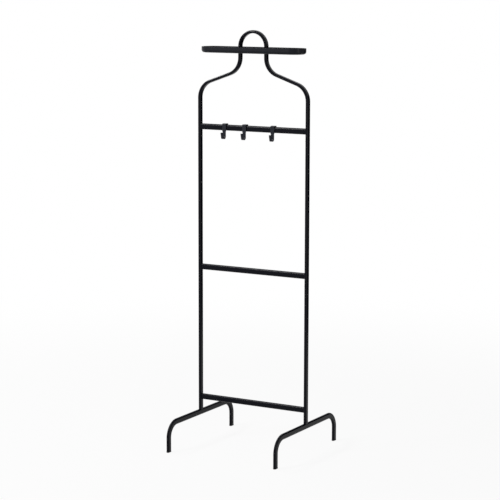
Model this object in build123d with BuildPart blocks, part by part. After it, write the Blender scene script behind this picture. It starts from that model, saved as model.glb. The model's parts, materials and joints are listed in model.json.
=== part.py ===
# Valet stand: a hanger-shaped frame of flat-oval steel tube, in three stacked sections on two arched feet,
# with a tray on the hanger's neck and clip-on hooks on the upper rail.
# Millimetres, +Z up, the front towards -Y, the origin on the floor under the middle of the stand.
import os
from math import cos, radians, sin, tan

from build123d import *

os.makedirs("parts", exist_ok=True)

# Flat-oval tube that the frame, the rails and the feet are made from
tube_width = 20.0
tube_thickness = 10.0
tube_wall = 1.5

# Frame, built up from the floor; heights are to the axes of the tubes
upright_spacing = 404.0
foot_bar_height = 95.5
lower_rail_rise = 54.0      # foot bar to lower rail
middle_rail_rise = 447.5    # lower rail to middle rail
upper_rail_rise = 472.0     # middle rail to upper rail
shoulder_rise = 137.0       # upper rail to where the shoulder line meets the upright
shoulder_slope = 19.3       # degrees
neck_spacing = 97.0         # between the two legs of the neck
neck_rise = 76.75           # where the shoulder line meets the neck to the springing of the loop
hanger_bend = 58.0          # axis radius of the neck and shoulder bends

# Feet
foot_span = 412.0           # between the two legs of a foot
foot_bend = 48.0            # axis radius
cope_depth = 3.0            # how far an upright straddles the foot bar
cope_gap = 0.15
glide_height = 4.0
glide_overhang = 0.4
glide_edge = 1.5
glide_plug_length = 14.0

# Joints between the sections, and between uprights and feet
seam_drop = 19.5            # rail to the seam below it
seam_flange = 1.2           # thickness of the plug's flange between two tube ends
seam_recess = 0.6           # how far the flange stands back from the tube's surface
plug_reach = 40.0
plug_fit = 0.1
plug_chamfer = 1.0
foot_plug_length = 32.0
foot_plug_setback = 0.3     # above the foot bar
joint_screw_drop = 13.0     # seam to the screw below it
saddle_thickness = 2.8      # between the head of the foot bolt and the roof of the foot bar's bore
saddle_fit = 0.3            # round the saddle and the bolt's head, in the bore

# Screws with round heads and hexagon sockets: thread, head width, head height, key width
joint_screw_size = 4.0
joint_head_width = 7.6
joint_head_height = 2.2
joint_key_width = 2.5
foot_bolt_size = 4.0
foot_bolt_grip = 22.0       # length of thread in the foot plug
foot_head_height = 2.6
foot_key_width = 2.5
tray_screw_size = 4.0
tray_screw_grip = 3.5       # length past the face of the neck tube
thread_fit = 0.05           # round a thread in its own hole
hole_fit = 0.2              # round a screw in a plain hole

# Tray
tray_length = 380.0
tray_depth = 80.0
tray_height = 19.5
tray_drop = 21.5            # springing of the loop to the underside of the tray
tray_wall = 2.2
tray_edge = 9.0             # outer radius where the floor meets the wall
tray_rim = 0.8              # rounding of the upper edges
collar_height = 12.0        # above the floor, round the slot for the neck
collar_rim = 0.8
collar_root = 1.5           # radius where the collar meets the floor
tray_fit = 0.3

# Hooks
hook_places = {"left_hook": -106.0, "middle_hook": -30.0, "right_hook": 76.0}
hook_width = 14.0           # over the rail
strap_width = 11.5          # below the rail
tongue_width = 8.0          # where the lip leaves the bend
tip_width = 6.8
shoulder_length = 4.0       # over which the hook narrows to the strap
hook_thickness = 3.0
hook_fit = 0.3
hook_corner = 2.5
hook_grip = 3.0             # how far the clip reaches round the lower edge of the rail
hook_drop = 27.4            # underside of the rail to the bottom of the hook
hook_gap = 10.5
lip_length = 15.5
lip_lean = 15.0             # degrees
hook_edge = 0.5             # rounding of the side edges

# Places that follow from the sizes above
upright_x = upright_spacing / 2
neck_x = neck_spacing / 2
half_flat = (tube_width - tube_thickness) / 2
bore_width = tube_width - 2 * tube_wall
bore_thickness = tube_thickness - 2 * tube_wall
rail_length = upright_spacing - tube_thickness

lower_rail_height = foot_bar_height + lower_rail_rise
middle_rail_height = lower_rail_height + middle_rail_rise
upper_rail_height = middle_rail_height + upper_rail_rise
lower_seam = middle_rail_height - seam_drop
upper_seam = upper_rail_height - seam_drop
shoulder_height = upper_rail_height + shoulder_rise
neck_height = shoulder_height + (upright_x - neck_x) * tan(radians(shoulder_slope))
loop_height = neck_height + neck_rise

bar_top = foot_bar_height + tube_width / 2
foot_plug_bottom = bar_top + foot_plug_setback
foot_head_width = bore_thickness - 2 * saddle_fit
saddle_vault = bore_thickness / 2 - cope_gap
saddle_bottom = foot_bar_height + half_flat + saddle_vault - saddle_thickness

tray_bottom = loop_height - tray_drop
tray_floor = tray_bottom + tray_wall
slot_length = neck_spacing + tube_thickness + 2 * tray_fit
slot_width = tube_width + 2 * tray_fit
slot_corner = tube_thickness / 2 + tray_fit
tray_screw_height = tray_floor + collar_height / 2

sides = {"left": -1, "right": 1}


def save(piece, name):
    piece.part.label = name
    export_step(piece.part, f"parts/{name}.step")


# Ring of the tube, its wide way along the sketch's own Y
def tube_ring():
    SlotOverall(tube_width, tube_thickness, rotation=90)
    SlotOverall(bore_width, bore_thickness, rotation=90, mode=Mode.SUBTRACT)


# Outline that slides into the tube
def plug_outline():
    SlotOverall(bore_width - 2 * plug_fit, bore_thickness - 2 * plug_fit, rotation=90)


# Round-headed screw with a hexagon socket; seat is where the head bears, outward points away from the thread
def round_head_screw(seat, outward, size, length, head_width, head_height, key_width):
    across = Vector(0, 1, 0)
    outward = Vector(*outward)
    head_land = head_height * 0.3
    crown_width = key_width * 1.9
    socket_depth = head_height * 0.6
    with BuildSketch(Plane(seat, x_dir=across, z_dir=across.cross(outward))) as profile:
        with BuildLine():
            shank = Polyline((0, head_height), (0, -length), (size / 2, -length), (size / 2, 0))
            land = Polyline(shank @ 1, (head_width / 2, 0), (head_width / 2, head_land))
            crown = TangentArc(land @ 1, (crown_width / 2, head_height), tangent=(0, 1))
            Line(crown @ 1, shank @ 0)
        make_face()
    revolve(profile.sketch, axis=Axis(seat, outward))
    with BuildSketch(Plane(seat + outward * head_height, z_dir=outward)) as socket:
        RegularPolygon(key_width / 2, 6, major_radius=False)
    extrude(socket.sketch, amount=-socket_depth, mode=Mode.SUBTRACT)


# Hanger: one tube from the left seam over the shoulders, the neck and the loop to the right seam
with BuildPart() as hanger_tube:
    hanger_start = upper_seam + seam_flange / 2
    with BuildLine(Plane.XZ) as hanger_path:
        FilletPolyline(
            (-upright_x, hanger_start),
            (-upright_x, shoulder_height),
            (-neck_x, neck_height),
            (-neck_x, loop_height),
            radius=hanger_bend,
        )
        ThreePointArc((-neck_x, loop_height), (0, loop_height + neck_x), (neck_x, loop_height))
        FilletPolyline(
            (neck_x, loop_height),
            (neck_x, neck_height),
            (upright_x, shoulder_height),
            (upright_x, hanger_start),
            radius=hanger_bend,
        )
    with BuildSketch(Plane((-upright_x, 0, hanger_start))):
        tube_ring()
    sweep(path=hanger_path.wire())
    # pilot holes for the tray screws in the outer flats of the neck
    for side in sides.values():
        with Locations((side * (neck_x + (tube_thickness - tube_wall) / 2), 0, tray_screw_height)):
            Cylinder(
                tray_screw_size / 2 + thread_fit,
                2 * tube_wall,
                rotation=(0, 90, 0),
                mode=Mode.SUBTRACT,
            )
save(hanger_tube, "hanger_tube")

# Rails, welded between the inner flats of the uprights
for name, height in (
    ("upper_rail", upper_rail_height),
    ("middle_rail", middle_rail_height),
    ("lower_rail", lower_rail_height),
):
    with BuildPart() as rail:
        with BuildSketch(Plane((0, 0, height), x_dir=(0, 1, 0), z_dir=(1, 0, 0))):
            tube_ring()
        extrude(amount=rail_length / 2, both=True)
    save(rail, name)

# Uprights of the middle and lower sections
for name, side in sides.items():
    flat_x = side * (upright_x - tube_thickness / 2)
    screw_hole = joint_screw_size / 2 + hole_fit

    with BuildPart() as middle_upright:
        with BuildSketch(Plane((side * upright_x, 0, lower_seam + seam_flange / 2))):
            tube_ring()
        extrude(amount=upper_seam - lower_seam - seam_flange)
        with Locations((flat_x, 0, upper_seam - joint_screw_drop)):
            Cylinder(screw_hole, 3 * tube_wall, rotation=(0, 90, 0), mode=Mode.SUBTRACT)
    save(middle_upright, f"{name}_middle_upright")

    with BuildPart() as lower_upright:
        upright_bottom = bar_top - cope_depth
        with BuildSketch(Plane((side * upright_x, 0, upright_bottom))):
            tube_ring()
        extrude(amount=lower_seam - seam_flange / 2 - upright_bottom)
        with Locations((side * upright_x, 0, foot_bar_height + half_flat)):
            Cylinder(
                tube_thickness / 2 + cope_gap,
                2 * tube_width,
                rotation=(90, 0, 0),
                mode=Mode.SUBTRACT,
            )
        with Locations((flat_x, 0, lower_seam - joint_screw_drop)):
            Cylinder(screw_hole, 3 * tube_wall, rotation=(0, 90, 0), mode=Mode.SUBTRACT)
    save(lower_upright, f"{name}_lower_upright")

# Joint plugs: each half fills a tube end, and the flange shows as the seam
for level, seam in (("upper", upper_seam), ("lower", lower_seam)):
    for name, side in sides.items():
        with BuildPart() as joint_plug:
            with BuildSketch(Plane((side * upright_x, 0, seam))):
                plug_outline()
            extrude(amount=plug_reach, both=True)
            plug_ends = joint_plug.faces().filter_by(Axis.Z)
            chamfer(plug_ends.edges(), plug_chamfer)
            with BuildSketch(Plane((side * upright_x, 0, seam))):
                SlotOverall(tube_width - 2 * seam_recess, tube_thickness - 2 * seam_recess, rotation=90)
            extrude(amount=seam_flange / 2, both=True)
            with Locations((side * upright_x, 0, seam - joint_screw_drop)):
                Cylinder(
                    joint_screw_size / 2 + thread_fit,
                    tube_thickness,
                    rotation=(0, 90, 0),
                    mode=Mode.SUBTRACT,
                )
        save(joint_plug, f"{level}_{name}_joint_plug")

with BuildPart() as joint_screws:
    joint_screw_length = tube_thickness - tube_wall - plug_fit
    for seam in (upper_seam, lower_seam):
        for side in sides.values():
            round_head_screw(
                Vector(side * (upright_x - tube_thickness / 2), 0, seam - joint_screw_drop),
                (-side, 0, 0),
                joint_screw_size,
                joint_screw_length,
                joint_head_width,
                joint_head_height,
                joint_key_width,
            )
save(joint_screws, "joint_screws")

# Feet, with what holds them to the uprights
for name, side in sides.items():
    foot_x = side * upright_x

    with BuildPart() as foot:
        leg_y = foot_span / 2
        with BuildLine(Plane.YZ.offset(foot_x)) as foot_path:
            FilletPolyline(
                (-leg_y, glide_height),
                (-leg_y, foot_bar_height),
                (leg_y, foot_bar_height),
                (leg_y, glide_height),
                radius=foot_bend,
            )
        with BuildSketch(Plane((foot_x, -leg_y, glide_height))):
            tube_ring()
        sweep(path=foot_path.wire())
        # the bolt goes in through a wider hole in the underside, and its head stays in the bore
        with Locations((foot_x, 0, foot_bar_height)):
            Cylinder(
                foot_bolt_size / 2 + hole_fit,
                tube_width,
                align=(Align.CENTER, Align.CENTER, Align.MIN),
                mode=Mode.SUBTRACT,
            )
            Cylinder(
                foot_head_width / 2 + hole_fit,
                tube_width,
                align=(Align.CENTER, Align.CENTER, Align.MAX),
                mode=Mode.SUBTRACT,
            )
    save(foot, f"{name}_foot")

    with BuildPart() as foot_plug:
        with BuildSketch(Plane((foot_x, 0, foot_plug_bottom))):
            plug_outline()
            Circle(foot_bolt_size / 2 + thread_fit, mode=Mode.SUBTRACT)
        extrude(amount=foot_plug_length)
    save(foot_plug, f"{name}_foot_plug")

    for end, y in (("front", -leg_y), ("back", leg_y)):
        with BuildPart() as glide:
            with BuildSketch(Plane((foot_x, y, 0))):
                SlotOverall(tube_width + 2 * glide_overhang, tube_thickness + 2 * glide_overhang, rotation=90)
            extrude(amount=glide_height)
            fillet(glide.faces().sort_by(Axis.Z)[0].edges(), glide_edge)
            with BuildSketch(Plane((foot_x, y, glide_height))):
                plug_outline()
            extrude(amount=glide_plug_length)
            chamfer(glide.faces().sort_by(Axis.Z)[-1].edges(), plug_chamfer)
        save(glide, f"{end}_{name}_glide")

# Saddle washers, flat for the head of the bolt and vaulted to fit the roof of the foot bar's bore
with BuildPart() as saddle:
    with BuildSketch():
        Circle(foot_head_width / 2)
        Circle(foot_bolt_size / 2 + hole_fit, mode=Mode.SUBTRACT)
    extrude(amount=saddle_thickness)
    with Locations((0, 0, saddle_thickness - saddle_vault)):
        Cylinder(saddle_vault, 2 * foot_head_width, rotation=(90, 0, 0), mode=Mode.INTERSECT)

with BuildPart() as foot_saddles:
    with Locations(*[(side * upright_x, 0, saddle_bottom) for side in sides.values()]):
        add(saddle.part)
save(foot_saddles, "foot_saddles")

with BuildPart() as foot_bolts:
    foot_bolt_length = foot_plug_bottom + foot_bolt_grip - saddle_bottom
    for side in sides.values():
        round_head_screw(
            Vector(side * upright_x, 0, saddle_bottom),
            (0, 0, -1),
            foot_bolt_size,
            foot_bolt_length,
            foot_head_width,
            foot_head_height,
            foot_key_width,
        )
save(foot_bolts, "foot_bolts")

# Tray: a shallow shell with round ends; the loop passes up through a slot with a raised collar
with BuildPart() as tray:
    with BuildSketch(Plane.XY.offset(tray_bottom)):
        SlotOverall(tray_length, tray_depth)
    extrude(amount=tray_height)
    fillet(tray.faces().sort_by(Axis.Z)[0].edges(), tray_edge)
    offset(amount=-tray_wall, openings=tray.faces().sort_by(Axis.Z)[-1])
    with BuildSketch(Plane.XY.offset(tray_bottom)):
        RectangleRounded(slot_length + 2 * tray_wall, slot_width + 2 * tray_wall, slot_corner + tray_wall)
    extrude(amount=tray_wall + collar_height)
    with BuildSketch(Plane.XY.offset(tray_bottom)):
        RectangleRounded(slot_length, slot_width, slot_corner)
    extrude(amount=tray_height, mode=Mode.SUBTRACT)
    rim = tray.faces().sort_by(Axis.Z)[-1]
    fillet(rim.edges(), tray_rim)
    upward = tray.faces().filter_by(Plane.XY).filter_by(lambda face: face.normal_at().Z > 0)
    collar_top = upward.filter_by_position(Axis.Z, tray_floor + 1, tray_floor + collar_height + 0.1)[0]
    fillet(collar_top.edges(), collar_rim)
    upward = tray.faces().filter_by(Plane.XY).filter_by(lambda face: face.normal_at().Z > 0)
    floor = upward.filter_by_position(Axis.Z, tray_floor - 0.1, tray_floor + 0.1)[0]
    fillet(floor.inner_wires()[0].edges(), collar_root)
    for side in sides.values():
        with Locations((side * (slot_length + tray_wall) / 2, 0, tray_screw_height)):
            Cylinder(
                tray_screw_size / 2 + hole_fit,
                2 * tray_wall,
                rotation=(0, 90, 0),
                mode=Mode.SUBTRACT,
            )
save(tray, "tray")

with BuildPart() as tray_screws:
    tray_screw_length = tray_wall + tray_fit + tray_screw_grip
    for side in sides.values():
        round_head_screw(
            Vector(side * (slot_length / 2 + tray_wall), 0, tray_screw_height),
            (side, 0, 0),
            tray_screw_size,
            tray_screw_length,
            joint_head_width,
            joint_head_height,
            joint_key_width,
        )
save(tray_screws, "tray_screws")

# Hooks: a clip over the upper rail, a strap in front of it and a tongue that turns up towards the front
rail_top = upper_rail_height + tube_width / 2
rail_bottom = upper_rail_height - tube_width / 2
clip_top = rail_top + hook_fit + hook_thickness
clip_bottom = upper_rail_height - half_flat - hook_grip
clip_back = tube_thickness / 2 + hook_fit + hook_thickness
strap_y = -(tube_thickness + hook_thickness) / 2 - hook_fit
bend_radius = (hook_gap + hook_thickness) / 2
bend_y = strap_y - bend_radius
hook_bottom = rail_bottom - hook_drop
bend_height = hook_bottom + bend_radius + hook_thickness / 2
lip_way = Vector(-sin(radians(lip_lean)), cos(radians(lip_lean)))
tongue_y = bend_y - bend_radius
tip_y = tongue_y + lip_length * lip_way.X - hook_thickness


# Points of an outline that is the same on both sides of a line at x
def both_sides(x, half_outline):
    left = [(x - half_width, along) for half_width, along in half_outline]
    right = [(x + half_width, along) for half_width, along in reversed(half_outline)]
    return left + right


for name, hook_x in hook_places.items():
    front_outline = both_sides(
        hook_x,
        [
            (hook_width / 2, clip_top),
            (hook_width / 2, rail_bottom),
            (strap_width / 2, rail_bottom - shoulder_length),
            (strap_width / 2, hook_bottom),
        ],
    )
    top_outline = both_sides(
        hook_x,
        [
            (hook_width / 2, clip_back),
            (hook_width / 2, strap_y - hook_thickness / 2),
            (tongue_width / 2, tongue_y),
            (tip_width / 2, tip_y),
        ],
    )
    with BuildPart() as hook:
        with BuildSketch(Plane((hook_x, 0, 0), x_dir=(0, 1, 0), z_dir=(1, 0, 0))):
            with Locations((0, (clip_top + clip_bottom) / 2)):
                RectangleRounded(2 * clip_back, clip_top - clip_bottom, hook_corner)
            with Locations((0, upper_rail_height)):
                SlotOverall(
                    tube_width + 2 * hook_fit,
                    tube_thickness + 2 * hook_fit,
                    rotation=90,
                    mode=Mode.SUBTRACT,
                )
            with BuildLine():
                Line((strap_y, upper_rail_height), (strap_y, bend_height))
                bend = CenterArc((bend_y, bend_height), bend_radius, 0, lip_lean - 180)
                PolarLine(bend @ 1, lip_length, direction=lip_way)
            trace(line_width=hook_thickness)
        extrude(amount=hook_width / 2, both=True)
        with BuildSketch(Plane.XZ):
            Polygon(*front_outline, align=None)
        extrude(amount=-tip_y, both=True, mode=Mode.INTERSECT)
        with BuildSketch(Plane.XY.offset(hook_bottom)):
            Polygon(*top_outline, align=None)
        extrude(amount=clip_top - hook_bottom, mode=Mode.INTERSECT)
        side_faces = hook.faces().filter_by(lambda face: abs(face.normal_at().X) > 0.8)
        fillet(side_faces.edges(), hook_edge)
    save(hook, name)
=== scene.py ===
import json
import math

import bpy
from mathutils import Euler, Matrix, Vector


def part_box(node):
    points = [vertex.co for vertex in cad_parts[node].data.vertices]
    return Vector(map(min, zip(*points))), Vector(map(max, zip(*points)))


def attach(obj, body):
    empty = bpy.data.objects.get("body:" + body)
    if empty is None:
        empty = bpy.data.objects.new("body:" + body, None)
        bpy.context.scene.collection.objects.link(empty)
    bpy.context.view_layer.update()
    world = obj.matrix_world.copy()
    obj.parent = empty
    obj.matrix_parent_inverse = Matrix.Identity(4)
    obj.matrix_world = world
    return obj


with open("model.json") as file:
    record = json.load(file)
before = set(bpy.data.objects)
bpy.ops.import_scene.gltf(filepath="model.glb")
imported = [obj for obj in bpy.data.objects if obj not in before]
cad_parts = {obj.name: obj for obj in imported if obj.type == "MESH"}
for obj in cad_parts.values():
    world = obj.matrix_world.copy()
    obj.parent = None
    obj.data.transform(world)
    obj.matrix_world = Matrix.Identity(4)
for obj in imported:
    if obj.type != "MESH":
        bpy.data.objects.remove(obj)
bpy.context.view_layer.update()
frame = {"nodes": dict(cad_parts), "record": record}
nodes = frame["nodes"]
mm = 0.001  # in metres
print("frame loaded:", len(nodes), "nodes")


# Linear colour of an sRGB hex value
def linearColor(hexCode):
    channels = []
    for start in (0, 2, 4):
        value = int(hexCode[start:start + 2], 16) / 255
        channels.append(value / 12.92 if value <= 0.04045 else ((value + 0.055) / 1.055) ** 2.4)
    return (*channels, 1.0)


# One node with its settings. An input goes by its name, or by its number as in _0,
# and a value that is a socket of another node becomes a link.
def addNode(tree, kind, settings=None, **values):
    node = tree.nodes.new(kind)
    for name, setting in (settings or {}).items():
        setattr(node, name, setting)
    for name, value in values.items():
        socket = node.inputs[int(name[1:]) if name[1:].isdigit() else name.replace("_", " ")]
        if isinstance(value, bpy.types.NodeSocket):
            tree.links.new(value, socket)
        else:
            socket.default_value = value
    return node


def newMaterial(name):
    material = bpy.data.materials.new(name)
    material.use_nodes = True
    material.node_tree.nodes.clear()
    return material, material.node_tree


def dress(piece, material):
    piece.data.materials.clear()
    piece.data.materials.append(material)


# Scale of a noise whose bumps are about this many millimetres across
def grainScale(sizeMm):
    return 1 / (sizeMm * mm)


noiseDetail = {"cloud": 3.0, "grain": 2.0, "patch": 4.0}  # finer octaves in each kind of noise


# Polyester powder coat on steel tube: near black, half gloss, with an orange peel that softens highlights.
# The peel's waves are as wide and as deep as real ones.
powderCoat = {
    "colors": ("05060e", "070811"),
    "roughness": (0.20, 0.26),
    "specular": 0.09,
    "grainMm": 2.4,
    "grainDepthMm": 0.01,
    "cloudMm": 60,
}

# Polypropylene from a spark-eroded mould: charcoal black with a low sheen and an even grain.
# The real grain is about 0.2 mm, too fine to show, so it is drawn at 2 mm.
trayPlastic = {
    "colors": ("13151a", "181a20"),
    "roughness": (0.30, 0.36),
    "specular": 0.10,
    "grainMm": 2.0,
    "grainDepthMm": 0.025,
    "cloudMm": 45,
}

# Nylon from a polished mould: charcoal black and satin, with the slow ripples of a plastic
# that cooled in flow
hookPlastic = {
    "colors": ("1d1f25", "23252c"),
    "roughness": (0.28, 0.36),
    "specular": 0.12,
    "grainMm": 2.5,
    "grainDepthMm": 0.02,
    "cloudMm": 9,
}

# Polyethylene from a blasted mould: soft matt black, a little greyer in places.
# Its grain is drawn at 1.5 mm, some ten times the real one, so that it shows.
glidePlastic = {
    "colors": ("090909", "111111"),
    "roughness": (0.5, 0.62),
    "specular": 0.2,
    "grainMm": 1.5,
    "grainDepthMm": 0.03,
    "cloudMm": 7,
}

# Black oxide on steel screws: dark metal with a faint brown cast and worn, brighter, smoother patches
screwOxide = {"colors": ("141312", "2c2a28"), "roughness": (0.5, 0.32), "patchMm": 2.5}


# Colour and roughness that drift together from the first value to the second
def driftingFinish(tree, noise, spec):
    color = addNode(
        tree,
        "ShaderNodeMix",
        {"data_type": "RGBA"},
        Factor=noise.outputs["Fac"],
        A=linearColor(spec["colors"][0]),
        B=linearColor(spec["colors"][1]),
    )
    rough = addNode(
        tree,
        "ShaderNodeMapRange",
        Value=noise.outputs["Fac"],
        To_Min=spec["roughness"][0],
        To_Max=spec["roughness"][1],
    )
    return color.outputs["Result"], rough.outputs["Result"]


def coatMaterial(name, spec):
    material, tree = newMaterial(name)
    place = addNode(tree, "ShaderNodeTexCoord").outputs["Object"]
    cloud = addNode(
        tree,
        "ShaderNodeTexNoise",
        Vector=place,
        Scale=grainScale(spec["cloudMm"]),
        Detail=noiseDetail["cloud"],
    )
    grain = addNode(
        tree,
        "ShaderNodeTexNoise",
        Vector=place,
        Scale=grainScale(spec["grainMm"]),
        Detail=noiseDetail["grain"],
    )
    bumps = addNode(
        tree,
        "ShaderNodeBump",
        Height=grain.outputs["Fac"],
        Strength=1.0,
        Distance=spec["grainDepthMm"] * mm,
    )
    color, rough = driftingFinish(tree, cloud, spec)
    shader = addNode(
        tree,
        "ShaderNodeBsdfPrincipled",
        Base_Color=color,
        Roughness=rough,
        Specular_IOR_Level=spec["specular"],
        Normal=bumps.outputs["Normal"],
    )
    addNode(tree, "ShaderNodeOutputMaterial", Surface=shader.outputs["BSDF"])
    return material


def oxideMaterial(name, spec):
    material, tree = newMaterial(name)
    patch = addNode(
        tree,
        "ShaderNodeTexNoise",
        Vector=addNode(tree, "ShaderNodeTexCoord").outputs["Object"],
        Scale=grainScale(spec["patchMm"]),
        Detail=noiseDetail["patch"],
    )
    color, rough = driftingFinish(tree, patch, spec)
    shader = addNode(tree, "ShaderNodeBsdfPrincipled", Base_Color=color, Roughness=rough, Metallic=1.0)
    addNode(tree, "ShaderNodeOutputMaterial", Surface=shader.outputs["BSDF"])
    return material


finishes = {
    "frame_steel": coatMaterial("black powder coat on steel", powderCoat),
    "tray_plastic": coatMaterial("textured polypropylene", trayPlastic),
    "hook_plastic": coatMaterial("satin nylon", hookPlastic),
    "glide_plastic": coatMaterial("matt polyethylene", glidePlastic),
    "plug_plastic": coatMaterial("matt nylon", glidePlastic),
    "screw_steel": oxideMaterial("black oxide steel", screwOxide),
}
for part in frame["record"]["subparts"]:
    dress(nodes[part["node"]], finishes[part["material_slot"]])
print("finishes on:", len(finishes))


# Weld beads round the ends of the rails, soft under the coat and a little uneven, as a hand-laid bead is
weld = {
    "beadMm": 1.5,  # radius of the bead
    "rippleMm": 4.0,
    "rippleDepthMm": 0.35,
    "around": 48,  # steps round the rail
    "across": 12,  # steps round the bead
    "cuts": 5,  # cuts along each flat side of the rail
}
ripple = bpy.data.textures.new("weld ripple", "CLOUDS")
ripple.noise_scale = weld["rippleMm"] * mm


# Goes into edit mode with only those vertices or edges selected that the test picks
def pick(piece, kind, test):
    bpy.ops.object.mode_set(mode="EDIT")
    bpy.ops.mesh.select_mode(type=kind)
    bpy.ops.mesh.select_all(action="DESELECT")
    bpy.ops.object.mode_set(mode="OBJECT")
    for item in piece.data.vertices if kind == "VERT" else piece.data.edges:
        item.select = test(item)
    bpy.ops.object.mode_set(mode="EDIT")


def edgeRise(piece, edge):
    low, high = (piece.data.vertices[index].co.z for index in edge.vertices)
    return abs(high - low)


def makeBead(depth, height):
    straight = (height - depth) / 2  # half of the rail's flat height
    offMiddle = straight / 100  # a point this far up or down isn't one of those at mid height
    stretched = straight / 2  # an edge this tall is one that the move below has drawn out
    bpy.ops.object.select_all(action="DESELECT")
    bpy.ops.mesh.primitive_torus_add(
        rotation=(0, math.radians(90), 0),
        major_radius=depth / 2,
        minor_radius=weld["beadMm"] * mm,
        major_segments=weld["around"],
        minor_segments=weld["across"],
    )
    bead = bpy.context.object
    bpy.ops.object.transform_apply(location=True, rotation=True, scale=True)

    # the upper half of the ring goes up and the lower half down, to the outline of the tube
    for half in (1, -1):
        pick(bead, "VERT", lambda point: point.co.z * half > offMiddle)
        bpy.ops.transform.translate(value=(0, 0, half * straight))
        bpy.ops.object.mode_set(mode="OBJECT")
    pick(bead, "EDGE", lambda edge: edgeRise(bead, edge) > stretched)
    bpy.ops.mesh.subdivide(number_cuts=weld["cuts"])
    bpy.ops.object.mode_set(mode="OBJECT")

    uneven = bead.modifiers.new("uneven", "DISPLACE")
    uneven.texture = ripple
    uneven.texture_coords = "LOCAL"
    uneven.strength = weld["rippleDepthMm"] * mm
    bpy.ops.object.modifier_apply(modifier="uneven")
    bpy.ops.object.shade_smooth()
    dress(bead, finishes["frame_steel"])
    return bead


railLow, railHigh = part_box("upper_rail")
firstBead = makeBead(railHigh.y - railLow.y, railHigh.z - railLow.z)
for rail in ("upper_rail", "middle_rail", "lower_rail"):
    low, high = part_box(rail)
    for sideName, end in (("left", low.x), ("right", high.x)):
        bpy.ops.object.select_all(action="DESELECT")
        firstBead.select_set(True)
        bpy.context.view_layer.objects.active = firstBead
        bpy.ops.object.duplicate()
        bead = bpy.context.object
        bead.name = rail.replace("rail", sideName) + "_weld"
        bpy.ops.transform.translate(value=(end, (low.y + high.y) / 2, (low.z + high.z) / 2))
        bpy.ops.object.transform_apply(location=True, rotation=True, scale=True)
        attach(bead, "stand")
bpy.data.objects.remove(firstBead)
print("weld beads laid")


# Camera at the photograph's viewing angle: degrees round the stand and down, places in metres,
# and the focal length in pixels of a 500 pixel frame
view = {
    "azimuth": 29.68,
    "down": 8.796,
    "roll": 0.117,
    "aim": (-0.01099, 0.0, 0.66689),
    "distance": 5.95842,
    "focalPixels": 1800,
    "framePixels": 500,
}
bpy.ops.object.select_all(action="DESELECT")
bpy.ops.object.camera_add()
camera = bpy.context.object
camera.name = "camera"
turn = Euler((math.radians(90 - view["down"]), 0, math.radians(view["azimuth"])), "XYZ").to_matrix()
turn = turn @ Matrix.Rotation(math.radians(view["roll"]), 3, "Z")
camera.rotation_mode = "QUATERNION"
camera.rotation_quaternion = turn.to_quaternion()
camera.location = Vector(view["aim"]) + turn @ Vector((0, 0, view["distance"]))
camera.data.lens = view["focalPixels"] * camera.data.sensor_width / view["framePixels"]
bpy.context.scene.camera = camera
print("camera at", [round(value, 3) for value in camera.location])


# Plain pale floor, white to the camera, with the stand's own soft shadow on it: metres across,
# how white it is under the stand and further off, where in metres that changes, and light from all round
stageLook = {"size": 40, "floor": "d0d0d0", "white": (0.92, 1.0), "fade": (0.7, 3.0), "ambient": 0.12}
plainWhite = linearColor("ffffff")


# 1 where the camera sees a surface, itself or in a reflection or through glass, and 0 where only light falls
def seenDirectly(tree):
    rays = addNode(tree, "ShaderNodeLightPath").outputs
    seen = rays["Is Camera Ray"]
    for kind in ("Is Glossy Ray", "Is Transmission Ray"):
        seen = addNode(tree, "ShaderNodeMath", {"operation": "MAXIMUM"}, _0=seen, _1=rays[kind]).outputs[0]
    return seen


bpy.ops.object.select_all(action="DESELECT")
bpy.ops.mesh.primitive_plane_add(size=stageLook["size"])
floor = bpy.context.object
floor.name = "floor"
floorMaterial, tree = newMaterial("pale studio floor")
pale = addNode(tree, "ShaderNodeBsdfDiffuse", Color=linearColor(stageLook["floor"]))
glow = addNode(tree, "ShaderNodeEmission", Color=plainWhite, Strength=1.0)
away = addNode(
    tree,
    "ShaderNodeVectorMath",
    {"operation": "LENGTH"},
    _0=addNode(tree, "ShaderNodeTexCoord").outputs["Object"],
)
fade = addNode(
    tree,
    "ShaderNodeMapRange",
    {"interpolation_type": "SMOOTHSTEP"},
    Value=away.outputs["Value"],
    From_Min=stageLook["fade"][0],
    From_Max=stageLook["fade"][1],
    To_Min=stageLook["white"][0],
    To_Max=stageLook["white"][1],
)
share = addNode(
    tree,
    "ShaderNodeMath",
    {"operation": "MULTIPLY"},
    _0=seenDirectly(tree),
    _1=fade.outputs["Result"],
)
blend = addNode(
    tree,
    "ShaderNodeMixShader",
    _0=share.outputs[0],
    _1=pale.outputs["BSDF"],
    _2=glow.outputs["Emission"],
)
addNode(tree, "ShaderNodeOutputMaterial", Surface=blend.outputs["Shader"])
dress(floor, floorMaterial)

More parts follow.
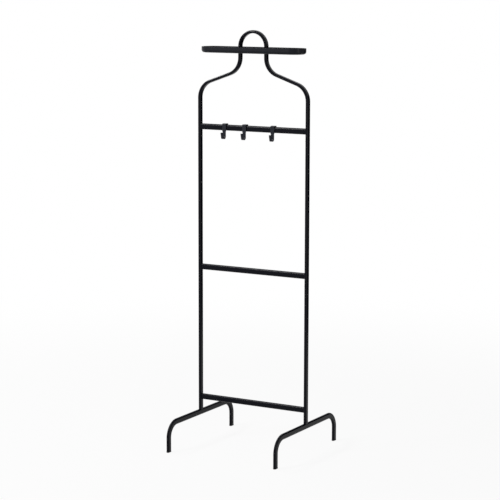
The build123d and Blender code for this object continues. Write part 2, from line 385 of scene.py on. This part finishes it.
# Black card stood up behind the stand to the right, seen only in reflections,
# where it keeps the tubes' far sides dark
darkCard = {"at": (0.95, 1.6, 0.8), "size": 1.6, "color": "050505"}
bpy.ops.object.select_all(action="DESELECT")
bpy.ops.mesh.primitive_plane_add(
    size=darkCard["size"],
    location=darkCard["at"],
    rotation=(math.radians(90), 0, 0),
)
card = bpy.context.object
card.name = "black card"
cardMaterial, tree = newMaterial("black card")
black = addNode(tree, "ShaderNodeBsdfDiffuse", Color=linearColor(darkCard["color"]))
addNode(tree, "ShaderNodeOutputMaterial", Surface=black.outputs["BSDF"])
dress(card, cardMaterial)
card.visible_camera = False
card.visible_diffuse = False
card.visible_shadow = False

world = bpy.data.worlds.new("white studio")
bpy.context.scene.world = world
world.use_nodes = True
tree = world.node_tree
tree.nodes.clear()
dim = addNode(tree, "ShaderNodeBackground", Color=plainWhite, Strength=stageLook["ambient"])
white = addNode(tree, "ShaderNodeBackground", Color=plainWhite, Strength=1.0)
both = addNode(
    tree,
    "ShaderNodeMixShader",
    _0=seenDirectly(tree),
    _1=dim.outputs["Background"],
    _2=white.outputs["Background"],
)
addNode(tree, "ShaderNodeOutputWorld", Surface=both.outputs["Shader"])
print("stage set")


# Soft boxes: where they hang, what they point at, how far they turn about that line in degrees,
# their sides in metres and their power in watts
softBoxes = {
    "key": {"at": (-1.64, -2.31, 2.87), "to": (0, 0, 1.07), "turn": 20.8, "size": (0.45, 2.7), "power": 108},
    "left": {"at": (-2.17, 0, 2.9), "to": (-0.12, 0, 1.23), "turn": 90, "size": (0.35, 2.4), "power": 50},
    "fill": {"at": (3.2, -1.1, 0.9), "to": (0.15, 0, 1.3), "turn": 0, "size": (0.6, 1.5), "power": 18},
}
for name, spec in softBoxes.items():
    bpy.ops.object.select_all(action="DESELECT")
    bpy.ops.object.light_add(type="AREA", location=spec["at"])
    lamp = bpy.context.object
    lamp.name = name + " soft box"
    lamp.data.shape = "RECTANGLE"
    lamp.data.size, lamp.data.size_y = spec["size"]
    lamp.data.energy = spec["power"]
    aim = (Vector(spec["to"]) - Vector(spec["at"])).to_track_quat("-Z", "Y").to_matrix()
    lamp.rotation_euler = (aim @ Matrix.Rotation(math.radians(spec["turn"]), 3, "Z")).to_euler()
print("lights:", len(softBoxes))

bpy.context.scene.view_settings.view_transform = "Standard"
